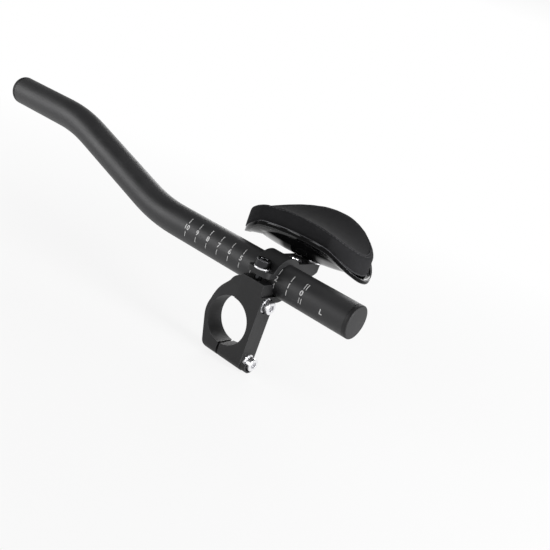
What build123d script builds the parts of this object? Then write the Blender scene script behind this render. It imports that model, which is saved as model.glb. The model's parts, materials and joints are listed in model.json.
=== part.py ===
"""Aero handlebar extension: S-bend tube, handlebar clamp and padded armrest.

Frame: origin in the middle of the handlebar clamp's bore, +X forward along the tube,
+Y along the handlebar towards the middle of the bike, +Z up. Millimetres.
"""
from build123d import *
import math
import os

# Handlebar clamp
bar_diameter = 31.8
clamp_width = 14.0
rear_wall = 4.1
cap_wall = 2.6
bar_bolt_offset = 19.4
split_gap = 1.8
lug_radius = 6.4
lower_lug_reach = 6.0
upper_lug_lift = 2.6
upper_lug_radius = 8.5
bar_bolt_recess = 2.0
chip_lip_length = 4.0
lug_round = 0.86
cap_overlap = 1.0

# Extension tube
tube_diameter = 22.2
tube_wall = 2.0
tube_height = 34.6
tail_length = 71.0
straight_length = 152.0
bend_radius = 125.0
bend_angle = 16.4
rise_length = 74.0
extension_length = 350.6

# End plugs
plug_head = 3.0
plug_depth = 14.0
plug_wall = 2.5
plug_round = 0.9

# Tube clamp and armrest arm
seat_set_back = 0.4
seat_step = 2.3
seat_wall = 4.0
clamp_slit = 4.0
inner_bolt_reach = 16.0
outer_bolt_reach = 17.5
flange_edge = 4.0
flange_top = 5.6
flange_depth = 11.0
flange_round = 4.0
arm_top = 11.0
arm_reach = 40.0
arm_tip_height = 4.5
arm_nose = 9.0
arm_round = 6.0

# Bolts, screws and washers
bolt_diameter = 5.0
head_diameter = 8.5
tube_head_diameter = 9.6
head_height = 5.0
head_chamfer = 0.4
socket_size = 4.0
socket_depth = 2.6
bar_bolt_length = 28.0
inner_bolt_length = 16.0
outer_bolt_length = 16.0
washer_diameter = 10.0
washer_thickness = 1.0
screw_head_diameter = 9.4
screw_head_height = 2.6
screw_length = 10.0
screw_spread = 12.0
screw_inset = 7.0

# Armrest tray
tray_length = 94.3
tray_depth = 72.0
tray_width = 66.2
tray_inset = 11.0
tray_shift = 3.65
tray_turn = 6.9
dish_radius = 46.0
dish_middle = 30.0
dish_height = 40.0
trough_reach = 0.7
arch_radius = 190.0
arch_shift = -5.65
tray_wall = 1.8
pan_length = 90.0
pan_shift = 7.0
pan_width = 54.0
pan_round = 13.0
boss_floor = 3.0
rim_width = 2.6
rim_height = 0.3
front_corner = 13.0
rear_corner = 12.0
slit_width = 2.6
slit_length = 15.0
slit_angle = 40.0
slit_rows = 3
slit_first_radius = 17.0
slit_pitch = 7.0

# Arm pad and the patch that holds it
pad_inset = 3.2
pad_stretch = 2.6
pad_shift = 2.1
pad_middle = 17.3
pad_top_radius = 79.0
pad_arch_radius = 125.0
pad_arch_shift = 0.35
pad_edge_round = 3.0
patch_thickness = 2.0
patch_length = 26.0
patch_width = 22.0
patch_corner = 4.0

# Clearances
running_clearance = 0.05
screw_clearance = 0.25
thread_clearance = 0.05
thread_run_out = 1.0
plug_clearance = 0.1
soft_clearance = 0.05
washer_clearance = 0.4
tube_clearance = 0.6

# Places that follow from the sizes above
bar_radius = bar_diameter / 2
bolt_radius = bolt_diameter / 2
hole_radius = bolt_radius + screw_clearance
thread_radius = bolt_radius + thread_clearance
recess_radius = washer_diameter / 2 + washer_clearance
tube_radius = tube_diameter / 2
seat_radius = tube_radius + running_clearance
saddle_radius = tube_radius + seat_wall
tube_y = clamp_width / 2 - inner_bolt_reach - flange_edge
rear_x = -bar_radius - rear_wall
lug_bottom = -bar_bolt_offset - lug_radius
seat_rear_x = rear_x + seat_step
seat_length = -seat_rear_x - seat_set_back
seat_x = seat_rear_x + seat_length / 2
seat_step_z = bar_bolt_offset + recess_radius + seat_set_back
lower_seat_z = tube_height - clamp_slit / 2
upper_seat_z = tube_height + clamp_slit / 2
inner_bolt_y = tube_y + inner_bolt_reach
outer_bolt_y = tube_y - outer_bolt_reach
flange_z = tube_height + flange_top
arm_z = tube_height + arm_top
sink_z = arm_z - head_height - washer_thickness
arm_tip_y = tube_y - arm_reach
screw_y = arm_tip_y + screw_inset
tray_base_z = arm_z + washer_thickness
screw_top_z = tray_base_z + boss_floor
tray_floor_z = screw_top_z + patch_thickness
tray_heading = math.radians(tray_turn)

rear_plane = Plane.YZ.offset(rear_x)
seat_plane = Plane.YZ.offset(seat_rear_x)
tube_rear = Plane(origin=(-tail_length, tube_y, tube_height), x_dir=(0, 1, 0), z_dir=(1, 0, 0))
tray_plane = Plane(
    origin=(seat_x + tray_shift, tube_y - tray_inset, tray_floor_z),
    x_dir=(math.cos(tray_heading), math.sin(tray_heading), 0),
    z_dir=(0, 0, 1),
)
cut_plane = tray_plane.offset(-arch_radius)
cut_height = 2 * arch_radius


def save(piece, name):
    """Labels a finished piece and writes it to its own file."""
    piece.label = name
    export_step(piece, f"parts/{name}.step")


def socket_bolt(plane, length, head):
    """Socket-head bolt: the head stands on the plane, the shank runs the other way."""
    with BuildPart(plane) as bolt:
        Cylinder(head / 2, head_height, align=(Align.CENTER, Align.CENTER, Align.MIN))
        rims = bolt.edges().filter_by(GeomType.CIRCLE).sort_by(Axis(plane.origin, plane.z_dir))
        chamfer(rims[-1], head_chamfer)
        Cylinder(bolt_radius, length, align=(Align.CENTER, Align.CENTER, Align.MAX))
        with BuildSketch(plane.offset(head_height)):
            RegularPolygon(socket_size / 2, 6, major_radius=False)
        extrude(amount=-socket_depth, mode=Mode.SUBTRACT)
    return bolt.part


def flat_washer(plane):
    """Plain washer that lies on the plane."""
    with BuildPart() as washer:
        with BuildSketch(plane):
            Circle(washer_diameter / 2)
            Circle(hole_radius, mode=Mode.SUBTRACT)
        extrude(amount=washer_thickness)
    return washer.part


def countersunk_screw(plane):
    """Countersunk screw: the flat of its head lies in the plane, the shank runs to minus Z."""
    with BuildPart(plane) as screw:
        Cone(
            bolt_radius,
            screw_head_diameter / 2,
            screw_head_height,
            align=(Align.CENTER, Align.CENTER, Align.MAX),
        )
        Cylinder(bolt_radius, screw_length, align=(Align.CENTER, Align.CENTER, Align.MAX))
        with BuildSketch(plane):
            RegularPolygon(socket_size / 2, 6, major_radius=False)
        extrude(amount=-socket_depth / 2, mode=Mode.SUBTRACT)
    return screw.part


def end_plug(plane):
    """Plug with a flat head on the tube's end and a hollow spigot inside the tube."""
    spigot_radius = tube_radius - tube_wall - plug_clearance
    with BuildPart(plane) as plug:
        Cylinder(tube_radius, plug_head, align=(Align.CENTER, Align.CENTER, Align.MIN))
        rims = plug.edges().filter_by(GeomType.CIRCLE).sort_by(Axis(plane.origin, plane.z_dir))
        fillet(rims[-1], plug_round)
        Cylinder(spigot_radius, plug_depth, align=(Align.CENTER, Align.CENTER, Align.MAX))
        Cylinder(
            spigot_radius - plug_wall,
            plug_depth,
            align=(Align.CENTER, Align.CENTER, Align.MAX),
            mode=Mode.SUBTRACT,
        )
    return plug.part


def lug_section(top_z):
    """Section across the handlebar ring: flat sides, and round under the lower bolt."""
    with BuildSketch() as section:
        with Locations((0, lug_bottom)):
            Rectangle(clamp_width, top_z - lug_bottom, align=(Align.CENTER, Align.MIN))
        fillet(section.vertices().group_by(Axis.Y)[0], lug_round * clamp_width / 2)
    return section.sketch


def belt(circles):
    """Outline of a belt pulled tight round circles, given anticlockwise as x, y and radius."""
    sides = []
    for (x, y, radius), (next_x, next_y, next_radius) in zip(circles, circles[1:] + circles[:1]):
        heading = math.atan2(next_y - y, next_x - x)
        distance = math.hypot(next_x - x, next_y - y)
        sides.append(math.degrees(heading - math.acos((radius - next_radius) / distance)))
    with BuildSketch() as outline:
        with BuildLine():
            arcs = []
            for k, (x, y, radius) in enumerate(circles):
                arcs.append(CenterArc((x, y), radius, sides[k - 1], (sides[k] - sides[k - 1]) % 360))
            for k, arc in enumerate(arcs):
                Line(arcs[k - 1] @ 1, arc @ 0)
        make_face()
    return outline.sketch


def tray_outline(inset, stretch=0.0):
    """Plan outline of the armrest: straight inner side and round outer side."""
    half_length = tray_length / 2 + stretch
    with BuildSketch() as outline:
        with Locations((0, tray_depth / 2 - tray_width)):
            Ellipse(half_length - inset, tray_depth / 2 - inset)
        with Locations((0, -inset)):
            Rectangle(2 * half_length, tray_width, align=(Align.CENTER, Align.MAX), mode=Mode.INTERSECT)
        corners = outline.vertices().group_by(Axis.Y)[-1].sort_by(Axis.X)
        fillet(corners[-1], front_corner - inset)
        rear_vertex = outline.vertices().group_by(Axis.Y)[-1].sort_by(Axis.X)[0]
        fillet(rear_vertex, rear_corner - inset)
    return outline.sketch


def trough(radius, height, arch=arch_radius, shift=arch_shift, top=dish_height):
    """Round trough that arches over along the arm, from one height above the tray floor to another."""
    half_angle = math.asin(trough_reach * tray_length / arch)
    centre = tray_plane.from_local_coords((shift, -dish_middle, -arch))
    lean = tray_plane.x_dir * math.cos(half_angle) + tray_plane.z_dir * math.sin(half_angle)
    with BuildPart() as solid:
        with BuildSketch(Plane(origin=centre, x_dir=tray_plane.y_dir, z_dir=lean)):
            with Locations((0, arch + height + radius)):
                Circle(radius)
            with Locations((0, arch)):
                Rectangle(2 * radius, 2 * top, mode=Mode.INTERSECT)
        revolve(axis=Axis(centre, tray_plane.y_dir), revolution_arc=2 * math.degrees(half_angle))
    return solid.part


def pan(z, inset):
    """Oval pan under the middle of the tray, from its floor up, rounded between floor and wall."""
    with BuildPart() as solid:
        with BuildSketch(tray_plane.offset(z - tray_floor_z)):
            with Locations((arch_shift + pan_shift, -dish_middle)):
                Ellipse(pan_length / 2 - inset, pan_width / 2 - inset)
        extrude(amount=dish_height / 2)
        fillet(solid.faces().sort_by(Axis.Z)[0].edges(), pan_round - inset)
    return solid.part


os.makedirs("parts", exist_ok=True)

# Extension tube, swept along its S-bend
with BuildPart() as extension_tube:
    bend_plane = Plane(origin=tube_rear.origin, x_dir=(1, 0, 0), z_dir=(0, -1, 0))
    with BuildLine(bend_plane) as tube_path:
        tail = Line((0, 0), (straight_length, 0))
        up_bend = JernArc(tail @ 1, tail % 1, bend_radius, bend_angle)
        rise = PolarLine(up_bend @ 1, rise_length, direction=up_bend % 1)
        down_bend = JernArc(rise @ 1, rise % 1, bend_radius, -bend_angle)
        nose = Line(down_bend @ 1, (extension_length, (down_bend @ 1).Z - tube_height))
    with BuildSketch(tube_rear):
        Circle(tube_radius)
        Circle(tube_radius - tube_wall, mode=Mode.SUBTRACT)
    sweep()
save(extension_tube.part, "extension_tube")

nose_end = Plane(origin=tube_path.line @ 1, x_dir=(0, 1, 0), z_dir=tube_path.line % 1)
tail_end = Plane(origin=tube_rear.origin, x_dir=(0, 1, 0), z_dir=(-1, 0, 0))
save(end_plug(nose_end), "front_end_plug")
save(end_plug(tail_end), "rear_end_plug")

# Clamp body: rear half of the handlebar ring with the saddle under the tube
upper_bolt_plane = Plane(
    origin=(rear_x + bar_bolt_recess, 0, bar_bolt_offset), x_dir=(0, 1, 0), z_dir=(-1, 0, 0)
)
lower_bolt_plane = Plane(origin=(rear_x, 0, -bar_bolt_offset), x_dir=(0, 1, 0), z_dir=(-1, 0, 0))
with BuildPart() as clamp_body:
    with BuildSketch(rear_plane):
        add(lug_section(lower_seat_z))
    extrude(amount=-rear_x)
    with BuildSketch(seat_plane):
        with Locations((tube_y, tube_height)):
            Circle(saddle_radius)
        with Locations((tube_y, lower_seat_z)):
            Rectangle(
                outer_bolt_reach + flange_edge,
                flange_depth,
                align=(Align.MAX, Align.MAX),
            )
        with Locations((tube_y, lower_seat_z)):
            Rectangle(
                2 * (outer_bolt_reach + flange_edge),
                saddle_radius,
                align=(Align.CENTER, Align.MAX),
                mode=Mode.INTERSECT,
            )
    extrude(amount=seat_length)
    flange_edges = clamp_body.edges().filter_by(Axis.X).sort_by(Axis.Y)
    fillet(flange_edges[0:2].sort_by(Axis.Z)[0], flange_round)
    with BuildSketch(Plane.XZ):
        Circle(bar_radius)
        Rectangle(split_gap, -2 * lug_bottom, align=(Align.CENTER, Align.MAX))
        with Locations((rear_x, seat_step_z)):
            Rectangle(seat_step, tube_height, align=(Align.MIN, Align.MIN))
    extrude(amount=clamp_width, both=True, mode=Mode.SUBTRACT)
    with BuildSketch(rear_plane):
        with Locations((tube_y, tube_height)):
            Circle(seat_radius)
        with Locations((0, bar_bolt_offset), (0, -bar_bolt_offset)):
            Circle(hole_radius)
    extrude(amount=bar_diameter, mode=Mode.SUBTRACT)
    with BuildSketch(rear_plane):
        with Locations((0, bar_bolt_offset)):
            Circle(recess_radius)
    extrude(amount=bar_bolt_recess, mode=Mode.SUBTRACT)
    with BuildSketch(rear_plane):
        with Locations((0, -bar_bolt_offset)):
            Circle(lug_radius)
            Circle(recess_radius, mode=Mode.SUBTRACT)
            Rectangle(2 * lug_radius, lug_radius, align=(Align.CENTER, Align.MAX), mode=Mode.INTERSECT)
    extrude(amount=-chip_lip_length)
    inner_thread_depth = inner_bolt_length - (flange_z + washer_thickness - lower_seat_z)
    outer_thread_depth = outer_bolt_length - (sink_z + washer_thickness - lower_seat_z)
    for bolt_y, depth in ((inner_bolt_y, inner_thread_depth), (outer_bolt_y, outer_thread_depth)):
        with Locations((seat_x, bolt_y, lower_seat_z)):
            Hole(thread_radius, depth + thread_run_out)
save(clamp_body.part, "clamp_body")

# Clamp cap: front half of the handlebar ring, tapped for the two bolts
with BuildPart() as clamp_cap:
    with BuildSketch(Plane.YZ):
        add(lug_section(tube_height))
    extrude(amount=bar_diameter)
    cap_round = lug_radius + cap_overlap
    with BuildSketch(Plane.XZ):
        add(
            belt(
                [
                    (lower_lug_reach, -bar_bolt_offset, cap_round),
                    (0, 0, bar_radius + cap_wall),
                    (0, bar_bolt_offset + upper_lug_lift, upper_lug_radius),
                    (-lower_lug_reach, -bar_bolt_offset, cap_round),
                ]
            )
        )
    extrude(amount=clamp_width, both=True, mode=Mode.INTERSECT)
    with BuildSketch(Plane.XZ):
        Circle(bar_radius)
        Rectangle(split_gap, -2 * lug_bottom, align=(Align.CENTER, Align.MAX))
    extrude(amount=clamp_width, both=True, mode=Mode.SUBTRACT)
    with BuildSketch(Plane.YZ):
        with Locations((tube_y, tube_height)):
            Circle(tube_radius + tube_clearance)
    extrude(amount=bar_diameter, mode=Mode.SUBTRACT)
    for bolt_plane in (upper_bolt_plane, lower_bolt_plane):
        tip_x = bolt_plane.origin.X - washer_thickness + bar_bolt_length
        with BuildSketch(Plane.YZ):
            with Locations((0, bolt_plane.origin.Z)):
                Circle(thread_radius)
        extrude(amount=tip_x + thread_run_out, mode=Mode.SUBTRACT)
save(clamp_cap.part, "clamp_cap")

for name, bolt_plane in (("upper", upper_bolt_plane), ("lower", lower_bolt_plane)):
    save(flat_washer(bolt_plane), f"handlebar_washer_{name}")
    bolt = socket_bolt(bolt_plane.offset(washer_thickness), bar_bolt_length, head_diameter)
    save(bolt, f"handlebar_bolt_{name}")

# Armrest bracket: upper half of the tube clamp with the arm that carries the armrest
with BuildPart() as armrest_bracket:
    with BuildSketch(seat_plane):
        with Locations((tube_y, tube_height)):
            Circle(saddle_radius)
        with Locations((tube_y, upper_seat_z)):
            Rectangle(
                inner_bolt_reach + flange_edge,
                flange_z - upper_seat_z,
                align=(Align.MIN, Align.MIN),
            )
        with BuildLine():
            Polyline(
                (tube_y, arm_z),
                (arm_tip_y, arm_z),
                (arm_tip_y, arm_z - arm_tip_height),
                (arm_tip_y + arm_nose, upper_seat_z),
                (tube_y, upper_seat_z),
                close=True,
            )
        make_face()
        with Locations((tube_y, upper_seat_z)):
            Rectangle(
                2 * arm_reach,
                saddle_radius,
                align=(Align.CENTER, Align.MIN),
                mode=Mode.INTERSECT,
            )
    extrude(amount=seat_length)
    upright_edges = armrest_bracket.edges().filter_by(Axis.Z).sort_by(Axis.Y)
    fillet(upright_edges[0:2], arm_round)
    fillet(upright_edges[-2:], flange_round)
    with BuildSketch(seat_plane):
        with Locations((tube_y, tube_height)):
            Circle(seat_radius)
    extrude(amount=seat_length, mode=Mode.SUBTRACT)
    with Locations((seat_x, inner_bolt_y, flange_z)):
        Cylinder(
            recess_radius,
            saddle_radius,
            align=(Align.CENTER, Align.CENTER, Align.MIN),
            mode=Mode.SUBTRACT,
        )
        Hole(hole_radius, flange_top)
    with Locations((seat_x, outer_bolt_y, arm_z)):
        CounterBoreHole(hole_radius, recess_radius, arm_z - sink_z, arm_top)
    with Locations((seat_x, screw_y, arm_z)):
        with GridLocations(screw_spread, 1, 2, 1):
            Hole(thread_radius, arm_top)
save(armrest_bracket.part, "armrest_bracket")

# Tube clamp bolts: the inner one stands on the flange, the outer one is sunk in the arm
tube_bolts = (
    ("inner", inner_bolt_y, flange_z, inner_bolt_length),
    ("outer", outer_bolt_y, sink_z, outer_bolt_length),
)
for name, bolt_y, bolt_z, length in tube_bolts:
    bolt_plane = Plane(origin=(seat_x, bolt_y, bolt_z))
    save(flat_washer(bolt_plane), f"tube_washer_{name}")
    bolt = socket_bolt(bolt_plane.offset(washer_thickness), length, tube_head_diameter)
    save(bolt, f"tube_bolt_{name}")

# Armrest tray: dished shell with a pan that stands on the arm, a rim and slits
with BuildPart() as tray_rim:
    add(trough(dish_radius + tray_wall + rim_height, -tray_wall - rim_height))
    add(trough(dish_radius - rim_height, rim_height), mode=Mode.SUBTRACT)
    with BuildSketch(cut_plane):
        add(tray_outline(0))
        add(tray_outline(rim_width), mode=Mode.SUBTRACT)
    extrude(amount=cut_height, mode=Mode.INTERSECT)

with BuildPart() as armrest_tray:
    add(trough(dish_radius + tray_wall, -tray_wall))
    add(pan(tray_base_z, 0))
    add(trough(dish_radius, 0), mode=Mode.SUBTRACT)
    add(pan(screw_top_z, tray_wall), mode=Mode.SUBTRACT)
    with BuildSketch(cut_plane):
        add(tray_outline(rim_width / 2))
    extrude(amount=cut_height, mode=Mode.INTERSECT)
    add(tray_rim.part)
    with BuildSketch(cut_plane):
        for row in range(slit_rows):
            radius = slit_first_radius + row * slit_pitch
            span = math.degrees(slit_length / radius)
            for middle in (slit_angle, 180 - slit_angle, 180 + slit_angle, -slit_angle):
                slit_line = CenterArc((arch_shift, -dish_middle), radius, middle - span / 2, span)
                SlotArc(slit_line, slit_width)
    extrude(amount=cut_height, mode=Mode.SUBTRACT)
    with Locations((seat_x, screw_y, screw_top_z)):
        with GridLocations(screw_spread, 1, 2, 1):
            Cylinder(
                screw_head_diameter / 2 + screw_clearance,
                dish_height,
                align=(Align.CENTER, Align.CENTER, Align.MIN),
                mode=Mode.SUBTRACT,
            )
            CounterSinkHole(hole_radius, screw_head_diameter / 2 + screw_clearance, dish_height)
save(armrest_tray.part, "armrest_tray")

for name, side in (("front", 1), ("rear", -1)):
    screw_x = seat_x + side * screw_spread / 2
    save(flat_washer(Plane(origin=(screw_x, screw_y, arm_z))), f"tray_washer_{name}")
    save(countersunk_screw(Plane(origin=(screw_x, screw_y, screw_top_z))), f"tray_screw_{name}")

# Hook-and-loop patch on the floor of the pan
with BuildPart() as hook_patch:
    with BuildSketch(tray_plane.offset(soft_clearance - patch_thickness)):
        with Locations((arch_shift + pan_shift, -dish_middle)):
            RectangleRounded(patch_length, patch_width, patch_corner)
    extrude(amount=patch_thickness - 2 * soft_clearance)
save(hook_patch.part, "hook_patch")

# Arm pad: foam that follows the tray below and is dished for the forearm above
with BuildPart() as arm_pad:
    pad_lift = rim_height + soft_clearance
    add(trough(dish_radius - pad_lift, pad_lift))
    with BuildSketch(tray_plane) as pan_floor:
        with Locations((arch_shift + pan_shift, -dish_middle)):
            Ellipse(pan_length / 2 - pan_round, pan_width / 2 - pan_round)
    extrude(amount=pan_round)
    extrude(pan_floor.sketch, amount=-pan_round, mode=Mode.SUBTRACT)
    add(
        trough(pad_top_radius, pad_middle, pad_arch_radius, pad_arch_shift, pad_top_radius),
        mode=Mode.SUBTRACT,
    )
    with BuildSketch(cut_plane):
        with Locations((pad_shift, 0)):
            add(tray_outline(pad_inset, pad_stretch))
    extrude(amount=cut_height, mode=Mode.INTERSECT)
    top_face = arm_pad.faces().sort_by(Axis.Z)[-1]
    fillet(top_face.edges(), pad_edge_round)
save(arm_pad.part, "arm_pad")
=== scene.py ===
# %% [markdown]
# # Aero handlebar extension
# A clip-on extension for a racing handlebar: an S-bent tube sits in a split clamp, and a padded
# forearm rest stands on an arm beside it. The CAD model is the frame. Everything here dresses it:
# finishes, softened edges, the printed scale on the tube, and the sewn pad.

# %% Load the frame
import json
import math

import bmesh
import bpy
from mathutils import Matrix, Vector
from mathutils.bvhtree import BVHTree
from mathutils.kdtree import KDTree


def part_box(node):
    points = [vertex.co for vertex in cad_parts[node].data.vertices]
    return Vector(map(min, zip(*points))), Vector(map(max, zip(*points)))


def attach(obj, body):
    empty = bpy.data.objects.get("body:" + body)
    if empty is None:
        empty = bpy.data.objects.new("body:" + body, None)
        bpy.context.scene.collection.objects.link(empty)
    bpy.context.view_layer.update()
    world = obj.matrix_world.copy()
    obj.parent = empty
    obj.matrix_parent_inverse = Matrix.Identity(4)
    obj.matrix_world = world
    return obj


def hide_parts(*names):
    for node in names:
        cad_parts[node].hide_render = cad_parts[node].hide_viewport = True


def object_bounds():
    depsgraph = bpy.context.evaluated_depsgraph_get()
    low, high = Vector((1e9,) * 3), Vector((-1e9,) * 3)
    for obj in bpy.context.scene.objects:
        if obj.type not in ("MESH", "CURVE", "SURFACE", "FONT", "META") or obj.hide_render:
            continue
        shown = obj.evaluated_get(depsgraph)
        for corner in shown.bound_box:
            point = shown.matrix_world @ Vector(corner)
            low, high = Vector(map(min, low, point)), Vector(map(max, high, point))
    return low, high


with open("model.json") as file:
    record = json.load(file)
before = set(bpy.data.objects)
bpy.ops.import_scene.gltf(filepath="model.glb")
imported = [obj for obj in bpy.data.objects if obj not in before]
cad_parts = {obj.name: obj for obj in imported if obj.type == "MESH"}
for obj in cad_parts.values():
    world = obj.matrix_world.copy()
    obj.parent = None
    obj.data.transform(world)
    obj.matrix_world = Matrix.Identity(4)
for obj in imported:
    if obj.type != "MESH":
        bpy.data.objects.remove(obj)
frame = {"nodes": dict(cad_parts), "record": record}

MM = 0.001
cad_low, cad_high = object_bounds()
print("CAD box in mm:", [round(v / MM, 1) for v in (*cad_low, *cad_high)])

# %% [markdown]
# ## Shared surface effects
# Real finishes are never one flat value. Three effects come back on many of the pieces: a fine
# grain that breaks up reflections, slow clouds in the gloss left by handling, and lighter edges:
# on the clamp where a dark coating has rubbed thin, and on the tray and the flange bolt as painted
# highlights. Each is a node group with named inputs, so that a material only says how much of it
# there is.

# %% Helpers for node trees
def node_group(kind, name, inputs, outputs):
    """An empty node group with named sockets, and its input and output nodes."""
    tree = bpy.data.node_groups.new(name, kind)
    for socket_name, socket_type, value in inputs:
        socket = tree.interface.new_socket(socket_name, in_out="INPUT", socket_type=socket_type)
        if value is not None:
            socket.default_value = value
    for socket_name, socket_type in outputs:
        tree.interface.new_socket(socket_name, in_out="OUTPUT", socket_type=socket_type)
    return tree, tree.nodes.new("NodeGroupInput"), tree.nodes.new("NodeGroupOutput")


def place(tree, node_type, links=None, **settings):
    """A new node with its settings, its inputs filled from other sockets or from plain values."""
    node = tree.nodes.new(node_type)
    for name, value in settings.items():
        setattr(node, name, value)
    for socket, source in (links or {}).items():
        if isinstance(source, bpy.types.NodeSocket):
            tree.links.new(source, node.inputs[socket])
        else:
            node.inputs[socket].default_value = source
    return node


# %% Fine grain: height for a bump
grain_group, grain_in, grain_out = node_group(
    "ShaderNodeTree", "fine_grain", [("Scale", "NodeSocketFloat", 2000.0)], [("Height", "NodeSocketFloat")]
)
grain_place = place(grain_group, "ShaderNodeTexCoord")
grain_noise = place(
    grain_group,
    "ShaderNodeTexNoise",
    {"Vector": grain_place.outputs["Object"], "Scale": grain_in.outputs["Scale"], "Detail": 3.0},
)
grain_group.links.new(grain_noise.outputs["Fac"], grain_out.inputs["Height"])

# %% Handling clouds: a slow mask for gloss and colour
cloud_group, cloud_in, cloud_out = node_group(
    "ShaderNodeTree", "handling_clouds", [("Scale", "NodeSocketFloat", 40.0)], [("Mask", "NodeSocketFloat")]
)
cloud_place = place(cloud_group, "ShaderNodeTexCoord")
cloud_noise = place(
    cloud_group,
    "ShaderNodeTexNoise",
    {
        "Vector": cloud_place.outputs["Object"],
        "Scale": cloud_in.outputs["Scale"],
        "Detail": 4.0,
        "Roughness": 0.6,
    },
)
cloud_range = place(
    cloud_group,
    "ShaderNodeMapRange",
    {"Value": cloud_noise.outputs["Fac"], "From Min": 0.3, "From Max": 0.7},
)
cloud_group.links.new(cloud_range.outputs["Result"], cloud_out.inputs["Mask"])

# %% Rubbed edges and painted glints: a mask where the surface turns sharply
wear_and_glint_group, wear_and_glint_in, wear_and_glint_out = node_group(
    "ShaderNodeTree",
    "rubbed_edges_and_glints",
    [("Clouds", "NodeSocketFloat", 0.5), ("Reach", "NodeSocketFloat", 0.45 * MM)],
    [("Mask", "NodeSocketFloat")],
)
wear_glint_round = place(wear_and_glint_group, "ShaderNodeBevel", {"Radius": wear_and_glint_in.outputs["Reach"]}, samples=6)
wear_glint_face = place(wear_and_glint_group, "ShaderNodeNewGeometry")
wear_glint_dot = place(
    wear_and_glint_group,
    "ShaderNodeVectorMath",
    {0: wear_glint_round.outputs["Normal"], 1: wear_glint_face.outputs["Normal"]},
    operation="DOT_PRODUCT",
)
wear_glint_turn = place(
    wear_and_glint_group,
    "ShaderNodeMapRange",
    {"Value": wear_glint_dot.outputs["Value"], "From Min": 0.98, "From Max": 0.8},
)
wear_and_glint_mask = place(
    wear_and_glint_group,
    "ShaderNodeMath",
    {0: wear_glint_turn.outputs["Result"], 1: wear_and_glint_in.outputs["Clouds"]},
    operation="MULTIPLY",
)
wear_and_glint_group.links.new(wear_and_glint_mask.outputs["Value"], wear_and_glint_out.inputs["Mask"])
print("Shared effects:", [group.name for group in (grain_group, cloud_group, wear_and_glint_group)])

# %% [markdown]
# ## Finishes
# The tube and the clamp parts are aluminium with a black coating: dark, a little metallic, satin.
# The fasteners are bright plated steel, apart from the bolt on the flange beside the tube, which is
# painted dark all over as painted shade, for the dark surroundings its plated head mirrors, and
# bright only along its edges as painted highlights. The tray is black plastic with painted highlights
# on its edges, the patch in it is hook cloth, and the scale is white print. What is the same all over
# a surface sits on the shader itself, and what varies comes through the groups.

# %% One recipe for every finish
def finish(name, colours, roughness, grain, cloud_scale, edge_reach=0.0, **sockets):
    """A material that drifts between two colours and two roughnesses, over a fine grain.

    The grain is its scale and its height. With an edge reach, the second colour shows only on the
    edges, as far in as that reach. The other sockets are set on the shader as they are.
    """
    material = bpy.data.materials.new(name)
    material.use_nodes = True
    tree = material.node_tree
    shader = tree.nodes["Principled BSDF"]
    for socket, value in sockets.items():
        shader.inputs[socket.replace("_", " ")].default_value = value
    clouds = place(tree, "ShaderNodeGroup", node_tree=cloud_group)
    clouds.inputs["Scale"].default_value = cloud_scale
    mask = clouds.outputs["Mask"]
    smooth, rough = roughness
    gloss = place(tree, "ShaderNodeMapRange", {"Value": mask, "To Min": smooth, "To Max": rough})
    tree.links.new(gloss.outputs["Result"], shader.inputs["Roughness"])
    if edge_reach:
        wear_and_glint = place(tree, "ShaderNodeGroup", node_tree=wear_and_glint_group)
        wear_and_glint.inputs["Reach"].default_value = edge_reach
        tree.links.new(mask, wear_and_glint.inputs["Clouds"])
        mask = wear_and_glint.outputs["Mask"]
    tint = place(tree, "ShaderNodeMixRGB", {0: mask, 1: (*colours[0], 1.0), 2: (*colours[1], 1.0)})
    tree.links.new(tint.outputs["Color"], shader.inputs["Base Color"])
    grain_scale, grain_height = grain
    texture = place(tree, "ShaderNodeGroup", node_tree=grain_group)
    texture.inputs["Scale"].default_value = grain_scale
    bump = place(tree, "ShaderNodeBump", {"Height": texture.outputs["Height"], "Distance": grain_height})
    tree.links.new(bump.outputs["Normal"], shader.inputs["Normal"])
    return material


def grey(value, blue=1.06):
    """A nearly neutral colour, a touch blue as black coatings are."""
    return (value, value, value * blue)


# %% The finishes, one for each kind of surface
anodised_tube = finish(
    "anodised_tube",
    colours=(grey(0.02), grey(0.028)),
    roughness=(0.44, 0.52),
    grain=(2600.0, 0.03 * MM),
    cloud_scale=60.0,
    Metallic=0.3,
    Specular_IOR_Level=0.6,
)
anodised_clamp = finish(
    "anodised_clamp",
    colours=(grey(0.013), grey(0.1)),
    roughness=(0.5, 0.6),
    grain=(1800.0, 0.04 * MM),
    cloud_scale=90.0,
    edge_reach=0.5 * MM,
    Metallic=0.3,
    Specular_IOR_Level=0.45,
)
bright_steel = finish(
    "bright_steel",
    colours=(grey(0.88, 1.02), grey(0.78, 1.02)),
    roughness=(0.32, 0.42),
    grain=(3000.0, 0.01 * MM),
    cloud_scale=300.0,
    Metallic=1.0,
)
# Painted shade and highlights: the dark colour stands for the dark surroundings that the plated head
# mirrors, and the bright colour on its edges is a painted highlight.
steel_painted_shade_glints = finish(
    "steel_painted_shade_glints",
    colours=(grey(0.04), grey(0.95)),
    roughness=(0.2, 0.26),
    grain=(3000.0, 0.01 * MM),
    cloud_scale=300.0,
    edge_reach=0.9 * MM,
    Metallic=1.0,
)
plug_plastic = finish(
    "plug_plastic",
    colours=(grey(0.012), grey(0.017)),
    roughness=(0.5, 0.6),
    grain=(1500.0, 0.04 * MM),
    cloud_scale=120.0,
    Specular_IOR_Level=0.3,
)
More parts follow.
